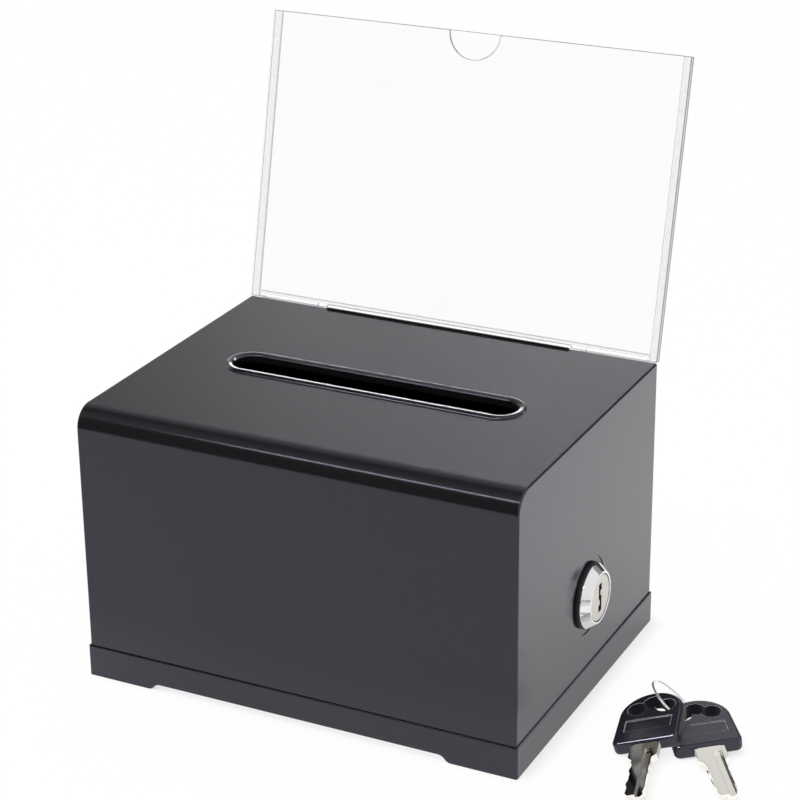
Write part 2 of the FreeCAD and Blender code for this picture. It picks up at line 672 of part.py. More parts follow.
def make_key_head(label):
    """Moulded head: domed outline, three-lobed eye, bare panel and the pocket for the blade's tang."""
    body = new_body(label)
    half = d.key_width / 2
    add_prism(body, "dome", "XY_Plane", as_size(0), d.key_thickness,
              [[(-half, 0), (half, 0), (d.key_dome_radius, d.key_dome_centre),
                (-d.key_dome_radius, d.key_dome_centre, 0, d.key_dome_centre, "left")]])
    round_edges(body, "shoulder_corners", d.key_corner_round,
                lambda e: lies_at(e, y=0, x=half) or lies_at(e, y=0, x=-half))
    round_edges(body, "outer_edges", d.key_edge_round,
                lambda e: lies_at(e, z=0) or lies_at(e, z=d.key_thickness))
    cut_prism(body, "side_lobes", "XY_Plane", as_size(-1), d.key_thickness + 1,
              [circle(-d.lobe_across, d.lobe_along, d.lobe_radius),
               circle(d.lobe_across, d.lobe_along, d.lobe_radius)])
    cut_prism(body, "middle_lobe", "XY_Plane", as_size(-1), d.key_thickness + 1,
              [circle(0, d.middle_lobe_along, d.middle_lobe_radius)])
    panel_x = d.panel_width / 2
    panel_low = d.panel_centre - d.panel_height / 2
    panel_high = d.panel_centre + d.panel_height / 2
    cut_prism(body, "panel", "XY_Plane", d.key_thickness - d.panel_depth, d.key_thickness + 1,
              [rectangle(-panel_x, panel_x, panel_low, panel_high)])
    middle = d.key_thickness / 2
    thin = d.blade_thickness / 2 + d.tang_play
    cut_prism(body, "tang_pocket", "XY_Plane", middle - thin, middle + thin,
              [rectangle(-d.tang_width / 2 - d.tang_play, d.tang_width / 2 + d.tang_play,
                         as_size(-1), d.tang_length + d.tang_play)])
    return body


def make_key_blade(label, left_code, right_code):
    """Flat blade with both edges cut for the wafers, a groove for each ward and a tang inside the head."""
    body = new_body(label)
    root_half = d.blade_root_width / 2
    half = d.blade_width / 2
    middle = d.key_thickness / 2
    shoulder = -d.blade_gap
    first_bit = -d.groove_start - d.wafer_first

    def edge(code, sign):
        root_end = first_bit + wafer_pitch / 2
        line = [(sign * root_half, shoulder), (sign * root_half, root_end + (root_half - half))]
        for number, depth in enumerate(code):
            wide = half - d.bit_step * depth
            centre = first_bit - wafer_pitch * number
            line.append((sign * wide, centre + wafer_pitch / 4))
            line.append((sign * wide, centre - wafer_pitch / 4))
        line.append((sign * d.blade_tip_width / 2, -d.blade_length + d.blade_tip_run))
        line.append((sign * d.blade_tip_flat / 2, -d.blade_length))
        return line

    tang_half = d.tang_width / 2
    tang = [(tang_half, shoulder), (tang_half, d.tang_length),
            (-tang_half, d.tang_length), (-tang_half, shoulder)]
    under = middle - d.blade_thickness / 2
    face = middle + d.blade_thickness / 2
    add_prism(body, "blank", "XY_Plane", under, face,
              [edge(left_code, -1) + list(reversed(edge(right_code, 1))) + tang])
    near = d.ward_low - d.ward_play
    far = d.ward_high + d.ward_play
    tip = -d.blade_length - 1
    cut_prism(body, "top_groove", "XY_Plane", face - d.ward_depth, face + 1,
              [rectangle(near, far, tip, -d.groove_start)])
    cut_prism(body, "under_groove", "XY_Plane", under - 1, under + d.ward_depth,
              [rectangle(-far, -near, tip, -d.groove_start)])
    return body


def lay_key_1(item):
    place(item, half_width + d.key_1_from_wall, d.key_1_along, d.key_1_rise,
          ((1, 0, 0), d.key_1_pitch), ((0, 1, 0), d.key_1_roll), ((0, 0, 1), d.key_1_turn))


def lay_key_2(item):
    place(item, half_width + d.key_2_from_wall, d.key_2_along, d.key_2_rise,
          ((1, 0, 0), d.key_2_pitch), ((0, 1, 0), d.key_2_roll), ((0, 0, 1), d.key_2_turn))


def make_key_ring():
    """Wire ring through an eye of both keys."""
    ring = doc.addObject("Part::Torus", "key_ring")
    ring.Label = "key_ring"
    bind(ring, "Radius1", d.ring_radius)
    bind(ring, "Radius2", d.ring_wire / 2)
    place(ring, half_width + d.ring_from_wall, d.ring_along, d.ring_rise,
          ((1, 0, 0), d.ring_lean), ((0, 0, 1), d.ring_turn))


make_base_tray()
make_cover_shell()
make_lock_body()
barrel_hole = barrel_radius + d.barrel_play
make_ring_plate("lock_spacer", -d.recess_depth, spacer_out, d.spacer_diameter / 2, barrel_hole)
make_ring_plate("lock_washer", nut_near, wall_in, d.washer_diameter / 2, barrel_hole)
make_lock_nut()
make_lock_plug()
make_lock_wafers()
make_cam_plate()
screw_hole = d.screw_diameter / 2 + d.cam_play
make_ring_plate("cam_washer", screw_seat, cam_far, d.cam_washer_diameter / 2, screw_hole)
make_cam_screw()
make_sign_front_panel()
make_sign_back_panel()
make_sign_strip("sign_left_strip", -sign_half, -sign_strip_x, d.sign_lift_off, sign_top)
make_sign_strip("sign_right_strip", sign_strip_x, sign_half, d.sign_lift_off, sign_top)
card_low = d.sign_lift_off + d.sign_bottom_strip
make_sign_strip("sign_bottom_strip", -sign_strip_x, sign_strip_x, sign_middle_low, card_low)
# Both keys carry the same cuts, each a number of steps deep
left_cuts = (1, 2, 1, 2, 2, 1, 2)
right_cuts = (2, 1, 2, 1, 2, 2, 1)
lay_key_1(make_key_head("key_1_head"))
lay_key_1(make_key_blade("key_1_blade", left_cuts, right_cuts))
lay_key_2(make_key_head("key_2_head"))
lay_key_2(make_key_blade("key_2_blade", left_cuts, right_cuts))
make_key_ring()

doc.recompute()
faults = []
for item in doc.Objects:
    if "Invalid" in item.State or "Error" in item.State:
        faults.append("%s: %s" % (item.Label, item.State))
node_kinds = ("PartDesign::Body", "Part::Feature", "Part::Torus")
nodes = [item for item in doc.Objects if item.TypeId in node_kinds]
for item in nodes:
    if item.Shape.isNull() or not item.Shape.isValid() or item.Shape.Volume <= 0:
        faults.append("%s: bad shape" % item.Label)
if faults:
    raise RuntimeError("; ".join(faults))
os.makedirs("parts", exist_ok=True)
for item in nodes:
    item.Shape.exportStep("parts/%s.step" % item.Label)
    print(item.Label, "volume", round(item.Shape.Volume, 1), "solids", len(item.Shape.Solids))
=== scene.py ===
import math

import bmesh
import bpy
from mathutils import Matrix, Vector


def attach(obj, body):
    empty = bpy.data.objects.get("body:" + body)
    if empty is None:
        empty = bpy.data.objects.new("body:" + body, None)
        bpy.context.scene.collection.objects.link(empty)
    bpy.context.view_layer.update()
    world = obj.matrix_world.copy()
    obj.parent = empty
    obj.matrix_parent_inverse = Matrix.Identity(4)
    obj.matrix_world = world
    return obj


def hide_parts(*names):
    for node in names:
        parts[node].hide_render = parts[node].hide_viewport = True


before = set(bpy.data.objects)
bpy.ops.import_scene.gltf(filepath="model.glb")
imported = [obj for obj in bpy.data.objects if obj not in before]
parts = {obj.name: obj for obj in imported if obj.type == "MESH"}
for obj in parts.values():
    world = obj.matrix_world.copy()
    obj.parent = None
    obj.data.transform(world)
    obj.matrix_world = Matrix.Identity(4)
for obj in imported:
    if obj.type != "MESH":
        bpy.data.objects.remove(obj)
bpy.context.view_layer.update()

# Base tray: one injection moulding in black styrene from a polished tool, with a skirt, two front feet,
# a lip that centres the cover, two hooks on the left and the catch that the lock's cam turns under.


class Shade:
    """One socket of a finish; arithmetic on it adds Math nodes to the same tree."""

    def __init__(self, tree, socket):
        self.tree = tree
        self.socket = socket

    def node(self, kind, settings=None, sockets=None, output=0):
        """Any other node: its settings first, then the values or links of its sockets."""
        made = self.tree.nodes.new(kind)
        for name, value in (settings or {}).items():
            if name == "stops":
                ramp = made.color_ramp
                while len(ramp.elements) < len(value):
                    ramp.elements.new(0.5)
                for element, (place, level) in zip(ramp.elements, value):
                    element.position = place
                    element.color = (level, level, level, 1.0)
            else:
                setattr(made, name, value)
        for name, value in (sockets or {}).items():
            target = made.inputs[name]
            if isinstance(value, Shade):
                self.tree.links.new(value.socket, target)
            else:
                target.default_value = value
        return Shade(self.tree, made.outputs[output])

    def math(self, operation, first, second=0.0):
        """One Math node on two values."""
        return self.node("ShaderNodeMath", {"operation": operation}, {0: first, 1: second})

    def along(self, direction):
        """How far the place is along a direction."""
        return self.node("ShaderNodeVectorMath", {"operation": "DOT_PRODUCT"}, {
            0: self, 1: direction}, "Value")

    def ramp(self, low, high, stops):
        """A smooth change from stop to stop while this value goes from low to high."""
        share = (self - low) * (1.0 / (high - low))
        return self.node("ShaderNodeValToRGB", {"stops": stops}, {0: share})

    def __add__(self, other):
        return self.math("ADD", self, other)

    def __sub__(self, other):
        return self.math("SUBTRACT", self, other)

    def __rsub__(self, other):
        return self.math("SUBTRACT", other, self)

    def __mul__(self, other):
        return self.math("MULTIPLY", self, other)

    def __gt__(self, other):
        return self.math("GREATER_THAN", self, other)

    def __lt__(self, other):
        return self.math("LESS_THAN", self, other)

    __radd__ = __add__
    __rmul__ = __mul__


def new_finish(name):
    """A material with its surface shader, and the place on the piece that its patterns start from."""
    finish = bpy.data.materials.new(name)
    finish.use_nodes = True
    tree = finish.node_tree
    surface = tree.nodes["Principled BSDF"]
    place = tree.nodes.new("ShaderNodeTexCoord")
    return finish, surface, Shade(tree, place.outputs["Object"])


def feed(surface, name, shade):
    """Links a value or colour to a named socket of a shader."""
    shade.tree.links.new(shade.socket, surface.inputs[name])


def cover_with(shade):
    """Makes a mixed shader the surface of its own material."""
    shade.tree.links.new(shade.socket, shade.tree.nodes["Material Output"].inputs["Surface"])


def mix_colour(factor, first, second):
    """Goes from the first colour to the second as the factor rises, by the node's colour sockets."""
    first = first if isinstance(first, Shade) else tuple(first) + (1.0,)
    second = second if isinstance(second, Shade) else tuple(second) + (1.0,)
    return factor.node("ShaderNodeMix", {"data_type": "RGBA"}, {0: factor, 6: first, 7: second}, output=2)


def specks(place, scale, detail=3.0):
    """Cloudy noise between 0 and 1; the scale is in spots per metre."""
    return place.node("ShaderNodeTexNoise", None, {"Vector": place, "Scale": scale, "Detail": detail})


plastic_ior = 1.6
cool_gloss = (0.82, 0.79, 1.0, 1.0)
skin_depth = 0.0003


def moulded_black(name, colour, gloss, grain):
    """Black moulded plastic: faint flow marks, handling scuffs in the gloss and a very slight skin."""
    finish, surface, place = new_finish(name)
    stretched = place.node("ShaderNodeMapping", None, {"Vector": place, "Scale": (1.0, 1.0, 9.0)})
    flow = specks(place, 14.0)
    scuffs = specks(stretched, 60.0, 6.0)
    fine = specks(place, 1100.0, 4.0)
    dark = [c * 0.82 for c in colour]
    light = [c * 1.18 for c in colour]
    feed(surface, "Base Color", mix_colour(flow, dark, light))
    feed(surface, "Roughness", gloss + (scuffs - 0.5) * 0.05 + (fine - 0.5) * 0.03)
    feed(surface, "Normal", place.node("ShaderNodeBump", None, {
        "Strength": grain, "Distance": skin_depth, "Height": fine}))
    surface.inputs["IOR"].default_value = plastic_ior
    surface.inputs["Specular Tint"].default_value = cool_gloss
    return finish


def settle(piece):
    """Evens the shading so that flat faces stay flat, and turns the modifiers into plain mesh."""
    level = piece.modifiers.new("level_faces", "WEIGHTED_NORMAL")
    level.mode = "FACE_AREA"
    level.weight = 100
    level.keep_sharp = True
    made = bpy.data.meshes.new_from_object(piece.evaluated_get(bpy.context.evaluated_depsgraph_get()))
    piece.modifiers.clear()
    piece.data = made


merge_distance = 0.000002
flat_angle = math.radians(0.3)
edge_angle = math.radians(32.0)


def cast(node, finish, bevel, steps=3, trim=None, share=None):
    """A smooth piece made from a node's own shape: faces joined up, edges broken by a small round.

    trim(shape) may change the joined shape; share(line) gives the part of the round that an edge gets."""
    shape = bmesh.new()
    shape.from_mesh(parts[node].data)
    bmesh.ops.remove_doubles(shape, verts=shape.verts, dist=merge_distance)
    if trim:
        trim(shape)
    bmesh.ops.dissolve_limit(shape, angle_limit=flat_angle, verts=shape.verts, edges=shape.edges)
    if share:
        weights = shape.edges.layers.float.new("bevel_weight_edge")
        for line in shape.edges:
            if line.calc_face_angle(0.0) > edge_angle:
                line[weights] = share(line)
    mesh = bpy.data.meshes.new(node + "_looks")
    shape.to_mesh(mesh)
    shape.free()
    mesh.materials.clear()
    mesh.materials.append(finish)
    for polygon in mesh.polygons:
        polygon.use_smooth = True
        polygon.material_index = 0
    piece = bpy.data.objects.new(node + "_looks", mesh)
    bpy.context.scene.collection.objects.link(piece)
    edge = piece.modifiers.new("broken_edges", "BEVEL")
    edge.width = bevel
    edge.segments = steps
    edge.limit_method = "WEIGHT" if share else "ANGLE"
    edge.angle_limit = edge_angle
    edge.use_clamp_overlap = True
    settle(piece)
    return piece


def stand_for(piece, node, body):
    """Puts a finished piece in the place of its node, on its body."""
    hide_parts(node)
    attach(piece, body)


seam_low = 0.01
seam_high = 0.0135
seam_round_share = 0.6
shell_round = 0.0003


def seam_share(line):
    """The edges that meet at the seam are broken less than the others."""
    height = 0.5 * (line.verts[0].co.z + line.verts[1].co.z)
    return seam_round_share if seam_low < height < seam_high else 1.0


shell_black = moulded_black("shell_black", (0.0098, 0.0092, 0.0094), 0.15, 0.03)
base = cast("base_tray", shell_black, shell_round, share=seam_share)
stand_for(base, "base_tray", "base")

# Cover: the upper moulding in the same black styrene, hooked on the base at the left and locked at the right,
# with the posting slot in its top, a low rail at its rear and two sockets for the sign.
cover_top = 0.099
rim_half_length = 0.0554
rim_half_width = 0.009
rim_middle = 0.0005
rim_slack = 0.0002
level_slack = 0.00001
rail_front = 0.0565
rail_half_length = 0.048
rail_seen_share = 0.62


def on_slot_rim(face):
    """Tells whether a face of the cover belongs to the raised band round the slot."""
    spot = face.calc_center_median()
    above = max(vert.co.z for vert in face.verts) > cover_top + level_slack
    lengthwise = abs(spot.x) < rim_half_length + rim_slack
    crosswise = abs(spot.y - rim_middle) < rim_half_width + rim_slack
    return above and lengthwise and crosswise


def trim_cover(shape):
    """Opens the top round the slot for the finer rim of the next section, and lowers the rail."""
    gone = [face for face in shape.faces if on_slot_rim(face)]
    bmesh.ops.delete(shape, geom=gone, context="FACES")
    for vert in shape.verts:
        if vert.co.y > rail_front and vert.co.z > cover_top and abs(vert.co.x) < rail_half_length:
            vert.co.z = cover_top + (vert.co.z - cover_top) * rail_seen_share


cover = cast("cover_shell", shell_black, shell_round, trim=trim_cover, share=seam_share)
stand_for(cover, "cover_shell", "cover")

# Slot rim: moulded in one with the cover in the same black styrene, a raised band round the slot that leans
# in a little, with a narrow facet at its foot and another where it drops into the slot.
# Its profile runs inwards from the foot, as pairs of distance and height in millimetres.
rim_profile = (
    (0.0, -0.02), (0.17, 0.2), (0.22, 0.28), (0.36, 0.62), (0.44, 0.76), (0.58, 0.855),
    (0.78, 0.895), (0.98, 0.89), (1.1, 0.874), (1.98, 0.725), (2.06, 0.69), (2.12, 0.63),
    (2.47, 0.18), (2.54, 0.08), (2.59, -0.04), (2.6, -0.2),
)
millimetre = 0.001
rim_steps = 48


def swept_rim(name, finish):
    """Carries the profile round the slot: two half circles joined by straight runs."""
    shape = bmesh.new()
    rings = []
    end = rim_half_length - rim_half_width
    for inward, rise in rim_profile:
        radius = rim_half_width - inward * millimetre
        ring = []
        for side in (1, -1):
            for step in range(rim_steps + 1):
                angle = math.radians(-90.0 + 180.0 * step / rim_steps)
                x = side * (end + radius * math.cos(angle))
                y = rim_middle + side * radius * math.sin(angle)
                ring.append(shape.verts.new((x, y, cover_top + rise * millimetre)))
        rings.append(ring)
    for outer, inner in zip(rings, rings[1:]):
        for number in range(len(outer)):
            after = (number + 1) % len(outer)
            face = shape.faces.new((outer[number], outer[after], inner[after], inner[number]))
            face.smooth = True
    mesh = bpy.data.meshes.new(name)
    shape.to_mesh(mesh)
    shape.free()
    mesh.materials.append(finish)
    piece = bpy.data.objects.new(name, mesh)
    bpy.context.scene.collection.objects.link(piece)
    settle(piece)
    return piece


slot_rim = swept_rim("slot_rim", shell_black)
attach(slot_rim, "cover")

# Lock housing: a zinc casting, polished and chrome plated, with a coned bezel outside the right wall
# and a threaded barrel with two flats inside it.


def plated(name, colour, gloss, streaks):
    """Plated metal: a faint haze in its colour and fine streaks in its gloss."""
    finish, surface, place = new_finish(name)
    surface.inputs["Metallic"].default_value = 1.0
    haze = specks(place, 120.0, 5.0)
    fine = specks(place, 1400.0, 2.0)
    feed(surface, "Base Color", mix_colour(haze, [c * 0.88 for c in colour], colour))
    feed(surface, "Roughness", gloss + (haze - 0.5) * 0.06 + (fine - 0.5) * streaks)
    return finish


bezel_chrome = plated("bezel_chrome", (0.78, 0.78, 0.79), 0.09, 0.03)
housing = cast("lock_body", bezel_chrome, bevel=0.00018)
stand_for(housing, "lock_body", "cover")


class Shaper:
    """A geometry tree: named sizes in, nodes added by one method, one mesh out."""

    sharp_angle = math.radians(40.0)

    def __init__(self, name):
        self.tree = bpy.data.node_groups.new(name, "GeometryNodeTree")
        self.tree.interface.new_socket("Geometry", in_out="OUTPUT", socket_type="NodeSocketGeometry")
        self.sizes = {}
        self.entry = self.tree.nodes.new("NodeGroupInput")
        self.exit = self.tree.nodes.new("NodeGroupOutput")

    def size(self, name, value, kind="NodeSocketFloat"):
        """A named input of the tree with its value."""
        socket = self.tree.interface.new_socket(name, in_out="INPUT", socket_type=kind)
        self.sizes[socket.identifier] = value
        return self.entry.outputs[name]

    def node(self, kind, settings=None, sockets=None):
        """Any node: its settings first, then the values or links of its sockets, or a list of links."""
        made = self.tree.nodes.new(kind)
        for name, value in (settings or {}).items():
            setattr(made, name, value)
        for name, value in (sockets or {}).items():
            if isinstance(value, bpy.types.NodeSocket):
                self.tree.links.new(value, made.inputs[name])
            elif isinstance(value, list):
                for link in reversed(value):
                    self.tree.links.new(link, made.inputs[name])
            else:
                made.inputs[name].default_value = value
        return made.outputs[0]

    def piece(self, name, shape, finish):
        """Realizes and finishes the shape, and turns it into a plain mesh."""
        solid = self.node("GeometryNodeRealizeInstances", None, {"Geometry": shape})
        solid = self.node("GeometryNodeSetMaterial", None, {"Geometry": solid, "Material": finish})
        self.tree.links.new(solid, self.exit.inputs[0])
        item = bpy.data.objects.new(name, bpy.data.meshes.new(name))
        bpy.context.scene.collection.objects.link(item)
        modifier = item.modifiers.new("shape", "NODES")
        modifier.node_group = self.tree
        for identifier, value in self.sizes.items():
            modifier[identifier] = value
        made = bpy.data.meshes.new_from_object(item.evaluated_get(bpy.context.evaluated_depsgraph_get()))
        item.modifiers.clear()
        item.data = made
        shell = bmesh.new()
        shell.from_mesh(made)
        bmesh.ops.recalc_face_normals(shell, faces=shell.faces)
        shell.to_mesh(made)
        shell.free()
        for polygon in made.polygons:
            polygon.use_smooth = True
        made.set_sharp_from_angle(angle=self.sharp_angle)
        return item


lock_axis_height = 0.0379
thread_start = (0.0544, 0.0, lock_axis_height)
thread = Shaper("barrel_thread")
thread_pitch = thread.size("Pitch", 0.001)
thread_count = thread.size("Count", 18, "NodeSocketInt")
thread_radius = thread.size("Radius", 0.00891)
thread_from = thread.size("Start", math.radians(30.5))
thread_sweep = thread.size("Sweep", math.radians(119.0))
thread_wire = thread.size("Ridge", 0.0002)
crest = thread.node("GeometryNodeCurveArc", None, {
    "Resolution": 36, "Radius": thread_radius, "Start Angle": thread_from, "Sweep Angle": thread_sweep})
ridge = thread.node("GeometryNodeCurvePrimitiveCircle", None, {"Resolution": 6, "Radius": thread_wire})
half_turn = thread.node("GeometryNodeCurveToMesh", None, {
    "Curve": crest, "Profile Curve": ridge, "Fill Caps": True})
lower = thread.node("GeometryNodeTransform", None, {"Geometry": half_turn, "Rotation": (0.0, 0.0, math.pi)})
turn = thread.node("GeometryNodeJoinGeometry", None, {"Geometry": [half_turn, lower]})
turn = thread.node("GeometryNodeTransform", None, {
    "Geometry": turn, "Rotation": (math.pi / 2, 0.0, math.pi / 2)})
step = thread.node("ShaderNodeCombineXYZ", None, {"X": thread_pitch})
places = thread.node("GeometryNodeMeshLine", None, {
    "Count": thread_count, "Start Location": thread_start, "Offset": step})
turns = thread.node("GeometryNodeInstanceOnPoints", None, {"Points": places, "Instance": turn})
barrel_thread = thread.piece("barrel_thread", turns, bezel_chrome)
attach(barrel_thread, "cover")

# Lock spacer, washer and nut: a ring of hard black rubber under the bezel, and inside the wall
# a stamped washer and a zinc-plated hexagon nut that clamp the housing.
small_round = 0.0002
ring_black = moulded_black("ring_black", (0.012, 0.012, 0.012), 0.45, 0.15)
spacer = cast("lock_spacer", ring_black, small_round)
stand_for(spacer, "lock_spacer", "cover")
zinc = plated("zinc_plate", (0.6, 0.61, 0.63), 0.3, 0.12)
for node in ("lock_washer", "lock_nut"):
    stand_for(cast(node, zinc, small_round), node, "cover")

# Lock plug: turned from brass and broached for the key, nickel plated with a satin face. It turns in the
# housing, with a thin painted shadow line where its flange meets the rim, and a painted shade on the walls
# and edges of its keyway.
ring_waves = 14000.0
# Between these radii the plug's face darkens into a painted shadow line at its gap to the bezel.
groove_inner = 0.00765
groove_outer = 0.0081
gap_painted_shade = (0.05, 0.048, 0.045)


def satin_plug(name, colour, gloss):
    """Satin nickel with turning rings on the face, and a painted shadow line in the groove round its edge."""
    finish, surface, place = new_finish(name)
    surface.inputs["Metallic"].default_value = 1.0
    flat = place.node("ShaderNodeVectorMath", {"operation": "MULTIPLY"}, {0: place, 1: (0.0, 1.0, 1.0)})
    radius = place.node("ShaderNodeVectorMath", {"operation": "DISTANCE"}, {
        0: flat, 1: (0.0, 0.0, lock_axis_height)}, "Value")
    waves = radius * ring_waves
    rings = waves.math("SINE", waves)
    groove = radius.ramp(groove_inner, groove_outer, ((0.0, 0.0), (0.35, 0.0), (0.7, 1.0)))
    haze = specks(place, 160.0, 5.0)
    tone = mix_colour(haze, [c * 0.9 for c in colour], colour)
    feed(surface, "Base Color", mix_colour(groove, tone, gap_painted_shade))
    feed(surface, "Roughness", gloss + (haze - 0.5) * 0.08 + rings * 0.02)
    return finish


keyway_reach = 0.0056
keyway_depth = 0.003
face_lean = 0.97
# A near-black, dull finish that paints the shade inside the keyway.
keyway_black = moulded_black("keyway_black", (0.006, 0.006, 0.006), 0.6, 0.1)


def paint_keyway_shade(piece):
    """Gives the broken edges and the front of the walls of the keyway a near-black painted shade."""
    mesh = piece.data
    mesh.materials.append(keyway_black)
    front = max(vert.co.x for vert in mesh.vertices)
    for polygon in mesh.polygons:
        spot = polygon.center
        reach = math.hypot(spot.y, spot.z - lock_axis_height)
        near_face = spot.x > front - keyway_depth
        if near_face and reach < keyway_reach and abs(polygon.normal.x) < face_lean:
            polygon.material_index = 1


plug = cast("lock_plug", satin_plug("plug_nickel", (0.58, 0.56, 0.51), 0.3), bevel=0.00025)
paint_keyway_shade(plug)
stand_for(plug, "lock_plug", "lock_rotor")

# Lock wafers: seven plates stamped from brass sheet, with a window for the key in each.
# They slide in the plug's cross slots and are held there by the housing.
wafers = cast("lock_wafers", plated("wafer_brass", (0.76, 0.58, 0.3), 0.28, 0.1), bevel=0.00005)
stand_for(wafers, "lock_wafers", "lock_rotor")

# Cam, its washer and its screw: stamped and turned steel, zinc plated. The cam sits on the plug's square
# tang, where the screw and its washer hold it, and swings under the catch of the base.
for node in ("cam_plate", "cam_washer", "cam_screw"):
    stand_for(cast(node, zinc, small_round), node, "lock_rotor")

# Sign holder: two cut and polished sheets of clear acrylic with three strips cemented between them, a pocket
# for a card. The front sheet has a thumb notch, and the back sheet's tongues plug into the cover.
acrylic_ior = 1.47


def clear_sheet(name, tint, gloss, open_share, cement=0.0):
    """Clear acrylic: nearly unseen face on, glassy at a slant, and lamp light goes straight through.

    open_share is how much of it is left out face on; cement is the strength of the uneven spots of cement."""
    finish, surface, place = new_finish(name)
    tree = place.tree
    surface.inputs["Transmission Weight"].default_value = 1.0
    surface.inputs["IOR"].default_value = acrylic_ior
    handling = specks(place, 40.0, 5.0)
    tone = mix_colour(handling, [c * 0.94 for c in tint], [min(1.0, c * 1.06) for c in tint])
    if cement:
        streaked = place.node("ShaderNodeMapping", None, {"Vector": place, "Scale": (1.0, 1.0, 0.25)})
        spots = specks(streaked, 1500.0, 2.0).ramp(0.52, 0.68, ((0.0, 0.0), (1.0, cement)))
        tone = mix_colour(spots, tone, [c * 0.45 for c in tint])
    feed(surface, "Base Color", tone)
    feed(surface, "Roughness", gloss + (handling - 0.5) * 0.02)
    clear = place.node("ShaderNodeBsdfTransparent", None, {"Color": (1.0, 1.0, 1.0, 1.0)})
    turned_away = place.node("ShaderNodeLayerWeight", None, {"Blend": 0.5}, "Facing")
    face_on = turned_away.ramp(0.0, 1.0, ((0.0, open_share), (0.25, open_share), (0.55, 0.0)))
    rays = tree.nodes.new("ShaderNodeLightPath")
    passing = Shade(tree, rays.outputs["Is Shadow Ray"]) + Shade(tree, rays.outputs["Is Glossy Ray"])
    cover_with(place.node("ShaderNodeMixShader", None, {
        0: passing.math("MAXIMUM", passing, face_on), 1: Shade(tree, surface.outputs[0]), 2: clear}))
    return finish


def facing_of(mesh):
    """The direction that the widest face of a flat piece looks in."""
    return max(mesh.polygons, key=lambda polygon: polygon.area).normal.copy()


edge_lean = 0.9


def cut_edges(piece, finish):
    """Gives the cut edges of a flat piece and their broken corners their own finish."""
    mesh = piece.data
    mesh.materials.append(finish)
    facing = facing_of(mesh)
    for polygon in mesh.polygons:
        if abs(polygon.normal.dot(facing)) < edge_lean:
            polygon.material_index = 1


sign_middle = Vector((0.0, 0.07, 0.1496))


def card_side(piece, finish):
    """Gives the cut edges that face the card the near-black painted shade of the sheets' edges."""
    mesh = piece.data
    mesh.materials.append(finish)
    for polygon in mesh.polygons:
        if polygon.material_index == 1 and polygon.normal.dot(sign_middle - polygon.center) > 0.0:
            polygon.material_index = 2


acrylic = clear_sheet("sign_acrylic", (0.99, 0.99, 0.995), 0.015, 0.8)
cemented = clear_sheet("sign_strip_acrylic", (0.78, 0.77, 0.81), 0.05, 0.0, 0.3)
# The cut edges are tinted grey and near black: painted shade for the dark lines along the acrylic's edges.
strip_painted_shade = clear_sheet("sign_strip_edge", (0.4, 0.39, 0.42), 0.12, 0.0)
painted_shade = clear_sheet("sign_sawn_edge", (0.1, 0.096, 0.112), 0.12, 0.0)
for node in ("sign_front_panel", "sign_back_panel"):
    sheet = cast(node, acrylic, small_round, steps=1)
    cut_edges(sheet, painted_shade)
    stand_for(sheet, node, "sign")
for node in ("sign_left_strip", "sign_right_strip", "sign_bottom_strip"):
    strip = cast(node, cemented, bevel=0.0003, steps=1)
    cut_edges(strip, strip_painted_shade)
    card_side(strip, painted_shade)
    stand_for(strip, node, "sign")

# Key heads: covers moulded in black plastic over the tangs of the blades, with a three-lobed eye for the ring
# and a sunk bare panel. The broken edges of the eye and of the panel carry a painted highlight, and the walls
# a painted shade.
head_black = moulded_black("key_head_black", (0.007, 0.0065, 0.009), 0.2, 0.06)
# Near-black with little gloss: painted shade for the eye's walls and the heads' side walls.
wall_painted_shade = moulded_black("key_eye_black", (0.004, 0.004, 0.005), 0.5, 0.1)
wall_painted_shade.node_tree.nodes["Principled BSDF"].inputs["Specular IOR Level"].default_value = 0.1
# A pale grey finish: painted highlight on the rounded edges of the eye and of the panel.
rim_painted_highlight = moulded_black("key_worn_black", (0.26, 0.255, 0.27), 0.25, 0.06)
head_round = 0.0004
wall_lean = 0.2
side_lean = 0.8
highlight_lean = (0.5, 0.97)
eye_zone = (0.013, 0.026)
eye_reach = 0.0093
panel_zone = (0.0058, 0.0126)
panel_reach = 0.0083
dome_middle = 0.0162


def middle_of(mesh):
    """The mean of a mesh's points."""
    return sum((vert.co for vert in mesh.vertices), Vector()) / len(mesh.vertices)


def paint_inner_wall_shade(piece):
    """Gives the walls that look back at the middle of the head, such as the eye's far wall, a near-black,
    nearly glossless finish as painted shade.
    """
    mesh = piece.data
    mesh.materials.append(wall_painted_shade)
    facing = facing_of(mesh)
    middle = middle_of(mesh)
    for polygon in mesh.polygons:
        upright = abs(polygon.normal.dot(facing)) < wall_lean
        if upright and polygon.normal.dot(polygon.center - middle) < 0.0:
            polygon.material_index = 1


def paint_side_shade_and_rim_highlight(piece, blade):
    """Gives the head's side walls the dull painted shade, and the broken edges of the eye and of the panel a
    paler finish as painted highlight.
    """
    mesh = piece.data
    mesh.materials.append(rim_painted_highlight)
    facing = facing_of(mesh)
    along = middle_of(mesh) - middle_of(parts[blade].data)
    along = (along - facing * along.dot(facing)).normalized()
    across = facing.cross(along)
    start = min(vert.co.dot(along) for vert in mesh.vertices)
    sides = [vert.co.dot(across) for vert in mesh.vertices]
    centre = 0.5 * (min(sides) + max(sides))
    for polygon in mesh.polygons:
        if abs(polygon.normal.dot(across)) > side_lean:
            polygon.material_index = 1
        if not highlight_lean[0] < abs(polygon.normal.dot(facing)) < highlight_lean[1]:
            continue
        run = polygon.center.dot(along) - start
        side = polygon.center.dot(across) - centre
        in_eye = eye_zone[0] < run < eye_zone[1] and math.hypot(side, run - dome_middle) < eye_reach
        in_panel = panel_zone[0] < run < panel_zone[1] and abs(side) < panel_reach
        if in_eye or in_panel:
            polygon.material_index = 2


